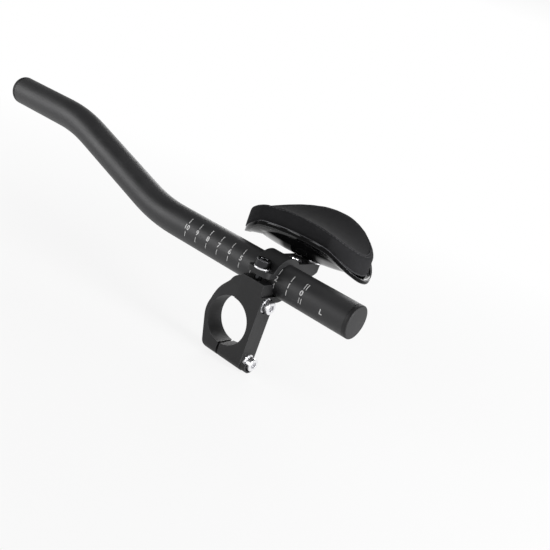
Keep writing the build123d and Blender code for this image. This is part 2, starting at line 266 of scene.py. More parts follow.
# The grey that shows on the tray's edges is a painted highlight along its rim.
tray_plastic_edge_glints = finish(
    "tray_plastic_edge_glints",
    colours=(grey(0.004), grey(0.3)),
    roughness=(0.1, 0.18),
    grain=(700.0, 0.004 * MM),
    cloud_scale=50.0,
    edge_reach=0.9 * MM,
    Specular_IOR_Level=0.06,
    Coat_IOR=2.4,
    Coat_Roughness=0.06,
)
hook_cloth = finish(
    "hook_cloth",
    colours=(grey(0.012), grey(0.03)),
    roughness=(0.85, 0.95),
    grain=(1400.0, 0.5 * MM),
    cloud_scale=500.0,
    Sheen_Weight=0.3,
)
scale_print = finish(
    "scale_print",
    colours=(grey(0.82, 1.0), grey(0.7, 1.0)),
    roughness=(0.5, 0.6),
    grain=(3000.0, 0.005 * MM),
    cloud_scale=900.0,
)
print("Finishes:", len(bpy.data.materials))

# %% [markdown]
# The tray's belly, the pan under the pad, is polished in the mould on both sides of the arm, where it
# mirrors the floor. The middle over the arm, the tray's two tips and the flange above stay dull. It
# could be split into two materials, but a polish fades out softly. So the gloss is a clear coat, and
# its mask is measured from the middle of the arm along the tray, and by height.

# %% Polished ends of the belly
# Each pair holds where there is no coat and where it is full: along the tray from the middle of the
# arm, and down from the tray's top.
SATIN_HALF = (11.5 * MM, 16.0 * MM)
TIP_HALF = (33.0 * MM, 28.0 * MM)
FLANGE_BELOW_TOP = (16.0 * MM, 18.0 * MM)


def ramp(tree, value, low, high):
    """A mask that goes from 0 to 1 as the value goes from low to high."""
    node = place(tree, "ShaderNodeMapRange", {"Value": value, "From Min": low, "From Max": high})
    return node.outputs["Result"]


def polish_ends(material, middle_x, top_z):
    """Puts a clear coat on both ends of the tray's belly."""
    tree = material.node_tree
    spot = place(tree, "ShaderNodeTexCoord")
    axes = place(tree, "ShaderNodeSeparateXYZ", {"Vector": spot.outputs["Object"]})
    along = place(tree, "ShaderNodeMath", {0: axes.outputs["X"], 1: middle_x}, operation="SUBTRACT")
    away = place(tree, "ShaderNodeMath", {0: along.outputs["Value"]}, operation="ABSOLUTE")
    ends = ramp(tree, away.outputs["Value"], *SATIN_HALF)
    tips = ramp(tree, away.outputs["Value"], *TIP_HALF)
    belly = ramp(tree, axes.outputs["Z"], top_z - FLANGE_BELOW_TOP[0], top_z - FLANGE_BELOW_TOP[1])
    inner = place(tree, "ShaderNodeMath", {0: ends, 1: tips}, operation="MULTIPLY")
    coat = place(tree, "ShaderNodeMath", {0: inner.outputs["Value"], 1: belly}, operation="MULTIPLY")
    tree.links.new(coat.outputs["Value"], tree.nodes["Principled BSDF"].inputs["Coat Weight"])


arm_low, arm_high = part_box("armrest_bracket")
arm_middle = (arm_low.x + arm_high.x) / 2
tray_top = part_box("armrest_tray")[1].z
polish_ends(tray_plastic_edge_glints, arm_middle, tray_top)
print("Middle of the arm at", round(arm_middle / MM, 1), "tray's top at", round(tray_top / MM, 1))

# %% [markdown]
# ## Metal and plastic pieces
# CAD shapes arrive as loose triangles with knife edges. A real machined or moulded edge is broken
# by a fraction of a millimetre, and that is where the light catches. Each rigid node is copied,
# its triangles are merged, its sharp edges get a small bevel, and the copy stands for the node.

# %% Dress a rigid node
SHARP_ANGLE = math.radians(32)
WELD_DISTANCE = 0.002 * MM


def merged_copy(node_name):
    """A mesh copied from a CAD node, with its loose triangles joined."""
    mesh = frame["nodes"][node_name].data.copy()
    work = bmesh.new()
    work.from_mesh(mesh)
    bmesh.ops.remove_doubles(work, verts=work.verts, dist=WELD_DISTANCE)
    work.to_mesh(mesh)
    work.free()
    return mesh


def link(mesh, name, material):
    """A new object at the origin with that mesh and material."""
    mesh.materials.clear()
    mesh.materials.append(material)
    piece = bpy.data.objects.new(name, mesh)
    bpy.context.scene.collection.objects.link(piece)
    return piece


def body_of_node(node_name):
    """The body that a CAD node belongs to."""
    bodies = frame["record"]["behaviour"]["bodies"]
    return next(name for name, nodes in bodies.items() if node_name in nodes)


def slot_of_node(node_name):
    """The record's material slot of a CAD node."""
    return next(s["material_slot"] for s in frame["record"]["subparts"] if s["node"] == node_name)


def dress(node_name, material, edge, reshape=None):
    """Replaces a CAD node by a copy with smooth shading and softened edges."""
    mesh = merged_copy(node_name)
    if reshape:
        reshape(mesh)
    mesh.shade_smooth()
    mesh.set_sharp_from_angle(angle=SHARP_ANGLE)
    piece = link(mesh, f"{node_name}_finished", material)
    bevel = piece.modifiers.new("softened_edges", "BEVEL")
    bevel.width = edge
    bevel.segments = 2
    bevel.limit_method = "ANGLE"
    bevel.angle_limit = SHARP_ANGLE
    bevel.use_clamp_overlap = True
    bevel.harden_normals = True
    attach(piece, body_of_node(node_name))
    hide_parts(node_name)


# %% [markdown]
# The cap of the handlebar clamp was cast with a full, round brow, and its inner flank draws in
# towards the tube, so that the parting line against the body shows as a small step. The copy of
# the cap is cut into level slices first, so that there are points to move.

# %% Brow and flank of the clamp's cap
BROW_LOW = 6.0 * MM
BROW_HIGH = 24.0 * MM
BROW_SLICES = 12
BROW_BULGE = 1.7 * MM
BROW_POWER = 1.5
BROW_LEAN = math.radians(27)
# Points this near to the bore's axis, or to the face between cap and body, stay where they are.
BORE_KEPT = 16.9 * MM
PARTING_KEPT = 2.0 * MM
FLANK_STEP = 1.6 * MM
FLANK_POWER = 0.7
FLANK_DEPTH = 0.1 * MM


def round_brow(mesh):
    """Bulges the cap's front above the bore, and draws in its inner flank there."""
    work = bmesh.new()
    work.from_mesh(mesh)
    for step in range(BROW_SLICES + 1):
        level = BROW_LOW + (BROW_HIGH - BROW_LOW) * step / BROW_SLICES
        everything = [*work.verts, *work.edges, *work.faces]
        bmesh.ops.bisect_plane(work, geom=everything, plane_co=(0, 0, level), plane_no=(0, 0, 1))
    flank_y = max(vertex.co.y for vertex in work.verts)
    for vertex in work.verts:
        x, y, z = vertex.co
        share = (z - BROW_LOW) / (BROW_HIGH - BROW_LOW)
        if 0.0 < share < 1.0 and math.hypot(x, z) > BORE_KEPT and x > PARTING_KEPT:
            bulge = BROW_BULGE * (4 * share * (1 - share)) ** BROW_POWER
            vertex.co.x += bulge * math.cos(BROW_LEAN)
            vertex.co.z += bulge * math.sin(BROW_LEAN)
        if y > flank_y - FLANK_DEPTH and share > 0.0:
            vertex.co.y -= FLANK_STEP * min(1.0, share) ** FLANK_POWER
    work.to_mesh(mesh)
    work.free()


# %% [markdown]
# Each material slot of the record has one finish and one width for its softened edges. A few nodes
# have a finish, a width or a change of shape of their own.

# %% Which finish goes on which node
rigid_finishes = {
    "anodised_tube": (anodised_tube, 0.3 * MM),
    "anodised_clamp": (anodised_clamp, 0.3 * MM),
    "steel": (bright_steel, 0.12 * MM),
    "end_plug": (plug_plastic, 0.15 * MM),
    "tray_shell": (tray_plastic_edge_glints, 0.3 * MM),
}
own_finishes = {"tube_bolt_inner": steel_painted_shade_glints}
wide_edges = {"armrest_bracket": 0.5 * MM, "tube_bolt_inner": 0.5 * MM}
reshaped = {"clamp_cap": round_brow}
for node_name in frame["nodes"]:
    slot_name = slot_of_node(node_name)
    if slot_name in rigid_finishes:
        material, edge = rigid_finishes[slot_name]
        material = own_finishes.get(node_name, material)
        dress(node_name, material, wide_edges.get(node_name, edge), reshaped.get(node_name))

# %% [markdown]
# ## Sewn pad
# The pad is foam in a stretch-knit cover, sewn from a top panel and a wall panel. It could be a
# smoothed copy of the CAD pad, but a stuffed cover swells between its seams and is held at them.
# So the CAD pad is taken a little smaller, remeshed into even faces and blown up by a cloth
# simulation, with its underside and the line of its seam pinned. The foam is firm and the cover
# stiff, so the swell is slight. Most of the form is the CAD pad's, with its walls arched further.

# %% Knitted cover and its thread
KNIT_SCALE = 1800.0
KNIT_DEPTH = 0.12 * MM
knit_group, knit_in, knit_out = node_group(
    "ShaderNodeTree",
    "knit_loops",
    [("Scale", "NodeSocketFloat", KNIT_SCALE)],
    [("Height", "NodeSocketFloat")],
)
knit_place = place(knit_group, "ShaderNodeTexCoord")
knit_cells = place(
    knit_group,
    "ShaderNodeTexVoronoi",
    {"Vector": knit_place.outputs["Object"], "Scale": knit_in.outputs["Scale"], "Randomness": 0.35},
)
knit_group.links.new(knit_cells.outputs["Distance"], knit_out.inputs["Height"])


def knit_finish(name, dark, light):
    """A matt knitted cloth: rows of loops, with a faint drift in its black."""
    material = finish(
        name,
        colours=(grey(dark), grey(light)),
        roughness=(0.85, 0.95),
        grain=(600.0, 0.05 * MM),
        cloud_scale=70.0,
    )
    tree = material.node_tree
    shader = tree.nodes["Principled BSDF"]
    shader.inputs["Specular IOR Level"].default_value = 0.05
    shader.inputs["Sheen Weight"].default_value = 0.02
    loops = place(tree, "ShaderNodeGroup", node_tree=knit_group)
    loops.inputs["Scale"].default_value = KNIT_SCALE
    under = shader.inputs["Normal"].links[0].from_socket
    relief = place(
        tree,
        "ShaderNodeBump",
        {"Height": loops.outputs["Height"], "Distance": KNIT_DEPTH, "Normal": under},
        invert=True,
    )
    tree.links.new(relief.outputs["Normal"], shader.inputs["Normal"])
    return material


pad_knit = knit_finish("pad_knit", 0.018, 0.023)
seam_knit = knit_finish("seam_knit", 0.036, 0.046)
pad_thread = finish(
    "pad_thread",
    colours=(grey(0.05), grey(0.08)),
    roughness=(0.6, 0.7),
    grain=(4000.0, 0.03 * MM),
    cloud_scale=600.0,
)
print("Cloths:", [cloth.name for cloth in (pad_knit, seam_knit, pad_thread)])

# %% Pad: shrink and remesh
PAD_SHRINK = 0.2 * MM
PAD_VOXEL = 1.7 * MM


def apply_modifiers(piece):
    """Turns the piece's modifiers into plain mesh."""
    evaluated = piece.evaluated_get(bpy.context.evaluated_depsgraph_get())
    mesh = bpy.data.meshes.new_from_object(evaluated)
    piece.modifiers.clear()
    piece.data = mesh


def shrink(mesh, distance):
    """Moves each point of a closed mesh inwards along its normal."""
    normals = [vertex.normal.copy() for vertex in mesh.vertices]
    for vertex, normal in zip(mesh.vertices, normals):
        vertex.co -= normal * distance


pad_mesh = merged_copy("arm_pad")
shrink(pad_mesh, PAD_SHRINK)
pad = link(pad_mesh, "sewn_pad", pad_knit)
even = pad.modifiers.new("even_faces", "REMESH")
even.mode = "VOXEL"
even.voxel_size = PAD_VOXEL
calm = pad.modifiers.new("calm_steps", "SMOOTH")
calm.factor = 0.5
calm.iterations = 2
apply_modifiers(pad)
print("Pad after remesh:", len(pad.data.polygons), "faces")

# %% [markdown]
# The foam stands fuller half-way along: the inner wall rises to a soft arch there, and the outer
# one a little. Each point is lifted by its share of the pad's thickness, so that the underside
# stays on the tray.

# %% Pad: arch the walls
INNER_LIFT = 1.0 * MM
OUTER_LIFT = 2.2 * MM
ARCH_CENTRE = -0.1
ARCH_POWER = 1.5
INSIDE_SHARE = 0.985
THINNEST = 1.0 * MM


def surface_of(mesh):
    """A mesh's faces, ready for rays and nearest points."""
    return BVHTree.FromPolygons([v.co for v in mesh.vertices], [p.vertices for p in mesh.polygons])


def corners_of(mesh):
    """The lowest and the highest corner of a mesh."""
    places = [v.co for v in mesh.vertices]
    low = Vector([min(place[k] for place in places) for k in range(3)])
    high = Vector([max(place[k] for place in places) for k in range(3)])
    return low, high


def arch_walls(mesh):
    """Lifts the pad's inner and outer walls towards the middle of its length."""
    surface = surface_of(mesh)
    low, high = corners_of(mesh)
    centre = (low + high) / 2
    half = (high - low) / 2
    up = Vector((0.0, 0.0, 1.0))
    lifts = []
    for vertex in mesh.vertices:
        inward = centre + (vertex.co - centre) * INSIDE_SHARE
        bottom = surface.ray_cast(Vector((inward.x, inward.y, low.z - half.z)), up)[0]
        top = surface.ray_cast(Vector((inward.x, inward.y, high.z + half.z)), -up)[0]
        share = 0.0
        if bottom and top:
            share = min(1.0, max(0.0, (vertex.co.z - bottom.z) / max(top.z - bottom.z, THINNEST)))
        along = (vertex.co.x - centre.x) / half.x - ARCH_CENTRE
        across = (vertex.co.y - centre.y) / half.y
        arch = max(0.0, 1.0 - along**2) ** ARCH_POWER
        height = INNER_LIFT if across > 0 else OUTER_LIFT
        lifts.append(share * arch * height * min(1.0, abs(across)) ** 2)
    for vertex, lift in zip(mesh.vertices, lifts):
        vertex.co.z += lift
    print("Pad walls lifted by up to", round(max(lifts) / MM, 1), "mm")


arch_walls(pad.data)

# %% [markdown]
# The seam runs where the wall turns into the top, and the binding where the wall turns under. Both
# lines are found by looking at the pad from all round: at each heading, rays come in level at many
# heights, and the hit that reaches furthest outwards and up, or outwards and down, is on the line.

# %% Seam lines
RIM_STEPS = 180
RIM_LEVELS = 90
RIM_CALMING = 3
SEAM_LEAN = 3.0
BINDING_LEAN = -0.7


def middle_value(values):
    """The middle one of some numbers."""
    return sorted(values)[len(values) // 2]


def rim_line(mesh, lean, window=0):
    """Points round a mesh that reach furthest outwards and, by the lean, up or down.

    With a window, each point takes the middle reach and height of that many neighbours each way,
    and the line is calmed as many times more.
    """
    surface = surface_of(mesh)
    low, high = corners_of(mesh)
    centre = (low + high) / 2
    line = []
    for step in range(RIM_STEPS):
        heading = 2 * math.pi * step / RIM_STEPS
        outward = Vector((math.cos(heading), math.sin(heading), 0.0))
        hits = []
        for level in range(RIM_LEVELS):
            start = centre + outward * (high - low).length
            start.z = low.z + (high.z - low.z) * level / (RIM_LEVELS - 1)
            hits.append(surface.ray_cast(start, -outward)[0])
        line.append(max((hit for hit in hits if hit), key=lambda hit: hit.dot(outward) + lean * hit.z))
    reaches = [(point - centre).to_2d().length for point in line]
    heights = [point.z for point in line]
    for step in range(RIM_STEPS if window else 0):
        near = [(step + k) % RIM_STEPS for k in range(-window, window + 1)]
        flat = (line[step] - centre).to_2d().normalized() * middle_value([reaches[k] for k in near])
        height = middle_value([heights[k] for k in near])
        line[step] = Vector((centre.x + flat.x, centre.y + flat.y, height))
    for _ in range(RIM_CALMING + window):
        line = [(line[k - 1] + line[k] * 2 + line[(k + 1) % RIM_STEPS]) / 4 for k in range(RIM_STEPS)]
    return line


# %% Pad: inflate between the seams
PAD_SWELL_CAP = 1.6 * MM
PAD_FRAMES = 20
PAD_PRESSURE = 4.0
COVER_STIFFNESS = 25.0
SEAM_HOLD = 1.6 * MM
UNDERSIDE_NORMAL = -0.5
STILL = 1e-9


def inflate(piece, held_points, cap, frames):
    """Blows the piece up with a cloth simulation that holds the given points and caps the swell."""
    start = [vertex.co.copy() for vertex in piece.data.vertices]
    held = piece.vertex_groups.new(name="held")
    held.add(held_points, 1.0, "REPLACE")
    cloth = piece.modifiers.new("inflate", "CLOTH")
    settings = cloth.settings
    settings.use_pressure = True
    settings.uniform_pressure_force = PAD_PRESSURE
    settings.effector_weights.gravity = 0.0
    settings.vertex_group_mass = "held"
    settings.tension_stiffness = COVER_STIFFNESS
    settings.compression_stiffness = COVER_STIFFNESS
    scene = bpy.context.scene
    for number in range(1, frames + 1):
        scene.frame_set(number)
    apply_modifiers(piece)
    scene.frame_set(1)
    moves = [vertex.co - origin for vertex, origin in zip(piece.data.vertices, start)]
    for vertex, origin, move in zip(piece.data.vertices, start, moves):
        vertex.co = origin + move * min(1.0, cap / max(move.length, STILL))
    print("Pad swelled by up to", round(max(move.length for move in moves) / MM, 1), "mm before the cap")


seam_tree = KDTree(RIM_STEPS)
for number, point in enumerate(rim_line(pad.data, SEAM_LEAN)):
    seam_tree.insert(point, number)
seam_tree.balance()
held_points = [
    v.index
    for v in pad.data.vertices
    if v.normal.z < UNDERSIDE_NORMAL or seam_tree.find(v.co)[2] < SEAM_HOLD
]
inflate(pad, held_points, PAD_SWELL_CAP, PAD_FRAMES)
pad.data.shade_smooth()
rounding = pad.modifiers.new("rounding", "SUBSURF")
rounding.levels = 1
rounding.render_levels = 1
apply_modifiers(pad)
pad.data.materials.clear()
pad.data.materials.append(pad_knit)
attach(pad, "clamp")
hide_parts("arm_pad")
print("Pad:", len(pad.data.polygons), "faces")

# %% [markdown]
# A welt, a thin rolled strip of the cover, fills the seam round the top, and a thicker one binds
# the lower edge. They could be cut into the pad's own mesh, but that would take far finer faces. So
# each is a round bead along its line.

# %% Welt and binding
WELT_RADIUS = 0.4 * MM
BINDING_RADIUS = 0.6 * MM


def bead(points, radius, name, material):
    """A round bead along a closed line of points."""
    curve = bpy.data.curves.new(name, "CURVE")
    curve.dimensions = "3D"
    curve.bevel_depth = radius
    curve.bevel_resolution = 2
    spline = curve.splines.new("POLY")
    spline.points.add(len(points) - 1)
    for knot, point in zip(spline.points, points):
        knot.co = (*point, 1.0)
    spline.use_cyclic_u = True
    rough = bpy.data.objects.new(name, curve)
    bpy.context.scene.collection.objects.link(rough)
    mesh = bpy.data.meshes.new_from_object(rough.evaluated_get(bpy.context.evaluated_depsgraph_get()))
    bpy.data.objects.remove(rough)
    mesh.shade_smooth()
    piece = link(mesh, name, material)
    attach(piece, "clamp")
    return piece


seam_line = rim_line(pad.data, SEAM_LEAN)
binding_line = rim_line(pad.data, BINDING_LEAN)
welt = bead(seam_line, WELT_RADIUS, "pad_welt", seam_knit)
binding = bead(binding_line, BINDING_RADIUS, "pad_binding", seam_knit)
print("Welt and binding:", [len(piece.data.polygons) for piece in (welt, binding)], "faces")

# %% [markdown]
# The tray ends in a rolled rim, a thin glossy lip that catches the light all round and runs across
# the outer ends of the slits. It is a bead too, along the tray's edge, found with the same level
# rays. A slit lets a ray in deep, so each place takes the middle reach of its neighbours.

# %% Rolled rim of the tray
ROLL_RADIUS = 0.8 * MM
ROLL_LEAN = 0.05
ROLL_WINDOW = 6
ROLL_DROP = 0.7
# The rim's colours are lighter than the tray's black: a painted highlight along the lip.
rim_gloss_painted_highlight = finish(
    "rim_gloss_painted_highlight",
    colours=(grey(0.035), grey(0.05)),
    roughness=(0.22, 0.3),
    grain=(700.0, 0.004 * MM),
    cloud_scale=80.0,
    Coat_Weight=1.0,
    Coat_IOR=1.7,
    Coat_Roughness=0.15,
)
tray_mesh = merged_copy("armrest_tray")
tray_low, tray_high = corners_of(tray_mesh)
roll_line = []
for point in rim_line(tray_mesh, ROLL_LEAN, ROLL_WINDOW):
    inward = ((tray_low + tray_high) / 2 - point).to_2d().normalized() * ROLL_RADIUS
    roll_line.append(point + Vector((inward.x, inward.y, -ROLL_DROP * ROLL_RADIUS)))
roll = bead(roll_line, ROLL_RADIUS, "tray_rolled_rim", rim_gloss_painted_highlight)
print("Rolled rim:", len(roll.data.polygons), "faces")

# %% [markdown]
# Just below the seam a row of stitches holds the panels. They could be modelled one by one, but
# they are all alike. So Geometry Nodes make one stitch and set copies of it along a line on the
# wall, and the result is kept as a plain mesh.

# %% Geometry Nodes results as plain meshes
def nodes_mesh(tree, values, base=None):
    """The plain mesh that a Geometry Nodes tree makes from its input values and a base mesh."""
    carrier = bpy.data.objects.new("carrier", base or bpy.data.meshes.new("carrier"))
    bpy.context.scene.collection.objects.link(carrier)
    modifier = carrier.modifiers.new("nodes", "NODES")
    modifier.node_group = tree
    sockets = {item.name: item.identifier for item in tree.interface.items_tree if item.in_out == "INPUT"}
    for name, value in values.items():
        modifier[sockets[name]] = value
    evaluated = carrier.evaluated_get(bpy.context.evaluated_depsgraph_get())
    mesh = bpy.data.meshes.new_from_object(evaluated)
    bpy.data.objects.remove(carrier)
    return mesh


# %% Stitches as a Geometry Nodes tree
def stitch_tree():
    """Short rounded stitches, one after another along a line."""
    tree, given, result = node_group(
        "GeometryNodeTree",
        "stitch_row",
        [
            ("Geometry", "NodeSocketGeometry", None),
            ("Pitch", "NodeSocketFloat", 2.6 * MM),
            ("Stitch Length", "NodeSocketFloat", 1.7 * MM),
            ("Thread Width", "NodeSocketFloat", 0.35 * MM),
            ("Material", "NodeSocketMaterial", None),
        ],
        [("Geometry", "NodeSocketGeometry")],
    )
    inputs = given.outputs
    size = place(
        tree,
        "ShaderNodeCombineXYZ",
        {"X": inputs["Stitch Length"], "Y": inputs["Thread Width"], "Z": inputs["Thread Width"]},
    )
    ball = place(tree, "GeometryNodeMeshUVSphere", {"Segments": 8, "Rings": 6, "Radius": 0.5})
    stitch = place(
        tree, "GeometryNodeTransform", {"Geometry": ball.outputs["Mesh"], "Scale": size.outputs["Vector"]}
    )
    line = place(tree, "GeometryNodeMeshToCurve", {"Mesh": inputs["Geometry"]})
    steps = place(
        tree,
        "GeometryNodeResampleCurve",
        {"Curve": line.outputs["Curve"], "Length": inputs["Pitch"]},
        mode="LENGTH",
    )
    along = place(tree, "GeometryNodeInputTangent")
    turned = place(
        tree, "FunctionNodeAlignRotationToVector", {"Vector": along.outputs["Tangent"]}, axis="X"
    )
    row = place(
        tree,
        "GeometryNodeInstanceOnPoints",
        {
            "Points": steps.outputs["Curve"],
            "Instance": stitch.outputs["Geometry"],
            "Rotation": turned.outputs["Rotation"],
        },
    )
    solid = place(tree, "GeometryNodeRealizeInstances", {"Geometry": row.outputs["Instances"]})
    painted = place(
        tree,
        "GeometryNodeSetMaterial",
        {"Geometry": solid.outputs["Geometry"], "Material": inputs["Material"]},
    )
    tree.links.new(painted.outputs["Geometry"], result.inputs["Geometry"])
    return tree


# %% Row of stitches below the seam
STITCH_LEAN = 1.6
pad_surface = surface_of(pad.data)
stitch_line = [pad_surface.find_nearest(point)[0] for point in rim_line(pad.data, STITCH_LEAN)]
stitch_path = bpy.data.meshes.new("stitch_path")
stitch_path.from_pydata(stitch_line, [(k, (k + 1) % RIM_STEPS) for k in range(RIM_STEPS)], [])
stitch_mesh = nodes_mesh(stitch_tree(), {"Material": pad_thread}, stitch_path)
stitch_mesh.shade_smooth()
stitches = link(stitch_mesh, "pad_stitches", pad_thread)
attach(stitches, "clamp")
print("Stitches:", len(stitch_mesh.polygons), "faces")

# %% [markdown]
# The pad is held by a patch of hook cloth on the pan's floor. It is hidden under the pad, so the CAD
# shape with a cloth finish is enough.

# %% Hook-and-loop patch under the pad
patch = link(merged_copy("hook_patch"), "hook_patch_cloth", hook_cloth)
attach(patch, "clamp")
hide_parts("hook_patch")
print("Patch:", len(patch.data.polygons), "faces")

# %% [markdown]
# ## Printed scale
# The tube slides in its clamp to suit the rider, and a centimetre scale printed on it shows how
# far. Each mark is a pair of ticks with a number between them. The ticks repeat along the tube, so
# Geometry Nodes bend one tick round the tube and set copies of it along a line.

# %% Where the tube is
tube_low, tube_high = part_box("rear_end_plug")
TUBE_RADIUS = (tube_high.y - tube_low.y) / 2
TUBE_Y = (tube_high.y + tube_low.y) / 2
TUBE_Z = (tube_high.z + tube_low.z) / 2
PRINT_HEIGHT = 0.03 * MM
SCALE_PITCH = 10.0 * MM
SCALE_MARKS = 11
ZERO_FROM_TAIL = 32.7 * MM
zero_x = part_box("extension_tube")[0].x + ZERO_FROM_TAIL
print("Tube radius in mm:", round(TUBE_RADIUS / MM, 2), "zero mark at", round(zero_x / MM, 1))

# %% Ticks as a Geometry Nodes tree
def tick_tree():
    """Copies of one tick, bent round a tube along X, at even steps along the tube."""
    tree, given, result = node_group(
        "GeometryNodeTree",
        "scale_ticks",
        [
            ("Count", "NodeSocketInt", 1),
            ("First X", "NodeSocketFloat", 0.0),
            ("Pitch", "NodeSocketFloat", SCALE_PITCH),
            ("Tube Radius", "NodeSocketFloat", TUBE_RADIUS),
            ("Tube Y", "NodeSocketFloat", TUBE_Y),
            ("Tube Z", "NodeSocketFloat", TUBE_Z),
            ("Low Angle", "NodeSocketFloat", 0.0),
            ("High Angle", "NodeSocketFloat", 0.3),
            ("Tick Width", "NodeSocketFloat", 0.4 * MM),
            ("Print Height", "NodeSocketFloat", PRINT_HEIGHT),
            ("Material", "NodeSocketMaterial", None),
        ],
        [("Geometry", "NodeSocketGeometry")],
    )
    inputs = given.outputs

    def maths(operation, first, second):
        """The result of one sum on two sockets or numbers."""
        return place(tree, "ShaderNodeMath", {0: first, 1: second}, operation=operation).outputs["Value"]

    def vector(x, y, z):
        """A vector from three sockets or numbers."""
        return place(tree, "ShaderNodeCombineXYZ", {"X": x, "Y": y, "Z": z}).outputs["Vector"]

    bar = place(
        tree, "GeometryNodeMeshCube", {"Vertices X": 2, "Vertices Y": 12, "Vertices Z": 2}
    )
    spot = place(tree, "GeometryNodeInputPosition")
    local = place(tree, "ShaderNodeSeparateXYZ", {"Vector": spot.outputs["Position"]}).outputs
    span = maths("SUBTRACT", inputs["High Angle"], inputs["Low Angle"])
    angle = maths("ADD", inputs["Low Angle"], maths("MULTIPLY", maths("ADD", local["Y"], 0.5), span))
    rise = maths("MULTIPLY", maths("ADD", local["Z"], 0.5), inputs["Print Height"])
    radius = maths("ADD", inputs["Tube Radius"], rise)
    bent = vector(
        maths("MULTIPLY", local["X"], inputs["Tick Width"]),
        maths("MULTIPLY", radius, maths("COSINE", angle, 0.0)),
        maths("MULTIPLY", radius, maths("SINE", angle, 0.0)),
    )
    tick = place(tree, "GeometryNodeSetPosition", {"Geometry": bar.outputs["Mesh"], "Position": bent})
    row = place(
        tree,
        "GeometryNodeMeshLine",
        {
            "Count": inputs["Count"],
            "Start Location": vector(inputs["First X"], inputs["Tube Y"], inputs["Tube Z"]),
            "Offset": vector(inputs["Pitch"], 0.0, 0.0),
        },
    )
    copies = place(
        tree,
        "GeometryNodeInstanceOnPoints",
        {"Points": row.outputs["Mesh"], "Instance": tick.outputs["Geometry"]},
    )
    solid = place(tree, "GeometryNodeRealizeInstances", {"Geometry": copies.outputs["Instances"]})
    painted = place(
        tree,
        "GeometryNodeSetMaterial",
        {"Geometry": solid.outputs["Geometry"], "Material": inputs["Material"]},
    )
    tree.links.new(painted.outputs["Geometry"], result.inputs["Geometry"])
    return tree


# %% Numbers, bent round the tube
NUMBER_SIZE = 4.6 * MM
NUMBER_BOLD = 0.09 * MM
NUMBER_ANGLE = math.radians(13)
FINEST_EDGE = 0.5 * MM
EDGE_HALVINGS = 4
LETTER_WELD = 0.001 * MM


def bent_text(text, x, angle, size):
    """Flat lettering wrapped on the tube at x and angle, reading towards the tail."""
    curve = bpy.data.curves.new("lettering", "FONT")
    curve.body = text
    curve.size = size
    curve.align_x = "CENTER"
    curve.align_y = "CENTER"
    curve.extrude = PRINT_HEIGHT / 2
    curve.offset = NUMBER_BOLD
    flat = bpy.data.objects.new("lettering", curve)
    bpy.context.scene.collection.objects.link(flat)
    mesh = bpy.data.meshes.new_from_object(flat.evaluated_get(bpy.context.evaluated_depsgraph_get()))
    bpy.data.objects.remove(flat)
    work = bmesh.new()
    work.from_mesh(mesh)
    bmesh.ops.remove_doubles(work, verts=work.verts, dist=LETTER_WELD)
    bmesh.ops.triangulate(work, faces=work.faces)
    for _ in range(EDGE_HALVINGS):
        long_edges = [edge for edge in work.edges if edge.calc_length() > FINEST_EDGE]
        bmesh.ops.subdivide_edges(work, edges=long_edges, cuts=1)
        bmesh.ops.triangulate(work, faces=work.faces)
    for vertex in work.verts:
        across, up, lift = vertex.co
        turn = angle + up / TUBE_RADIUS
        reach = TUBE_RADIUS + PRINT_HEIGHT / 2 + lift
        vertex.co = (x - across, TUBE_Y + reach * math.cos(turn), TUBE_Z + reach * math.sin(turn))
    bmesh.ops.recalc_face_normals(work, faces=work.faces)
    work.to_mesh(mesh)
    work.free()
    return mesh


def joined(meshes, name):
    """One mesh from several."""
    work = bmesh.new()
    for mesh in meshes:
        work.from_mesh(mesh)
    mesh = bpy.data.meshes.new(name)
    work.to_mesh(mesh)
    work.free()
    return mesh


# %% The whole scale as one piece on the tube
UPPER_TICK = (math.radians(28), math.radians(50))
LOWER_TICK = (math.radians(-21), math.radians(-2))
ZERO_TWIN_STEP = 1.6 * MM
SIDE_MARK_STEP = 16.6 * MM
SIDE_MARK_ANGLE = math.radians(-9)
ticks = tick_tree()
scale_meshes = []
for low, high in (UPPER_TICK, LOWER_TICK):
    for first, count in ((zero_x, SCALE_MARKS), (zero_x - ZERO_TWIN_STEP, 1)):
        values = {"Count": count, "First X": first, "Low Angle": low, "High Angle": high}
        values["Material"] = scale_print
        scale_meshes.append(nodes_mesh(ticks, values))
for mark in range(SCALE_MARKS):
    scale_meshes.append(bent_text(str(mark), zero_x + mark * SCALE_PITCH, NUMBER_ANGLE, NUMBER_SIZE))
scale_meshes.append(bent_text("L", zero_x - SIDE_MARK_STEP, SIDE_MARK_ANGLE, NUMBER_SIZE))
scale = link(joined(scale_meshes, "printed_scale"), "printed_scale", scale_print)
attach(scale, "extension")
print("Scale:", len(scale.data.polygons), "faces")

# %% [markdown]
# ## Studio
# A pale floor under the object and a white surround. Black pieces are drawn by what they reflect, so
# the surround is white round about and dark overhead, and the upper sides stay black. The floor could
# be lit until it is white, but that would wash out the object. So rays that see the floor or the
# surround, straight on or mirrored, find it white, and the lamps stay at a plain level.

# %% What shows the white surround
def shows_white(tree):
    """A mask of the rays that see the surround: straight on, mirrored, or through something clear."""
    rays = place(tree, "ShaderNodeLightPath")
    mirrored = place(
        tree,
        "ShaderNodeMath",
        {0: rays.outputs["Is Camera Ray"], 1: rays.outputs["Is Glossy Ray"]},
        operation="ADD",
    )
    total = place(
        tree,
        "ShaderNodeMath",
        {0: mirrored.outputs["Value"], 1: rays.outputs["Is Transmission Ray"]},
        operation="ADD",
        use_clamp=True,
    )
    return total.outputs["Value"]


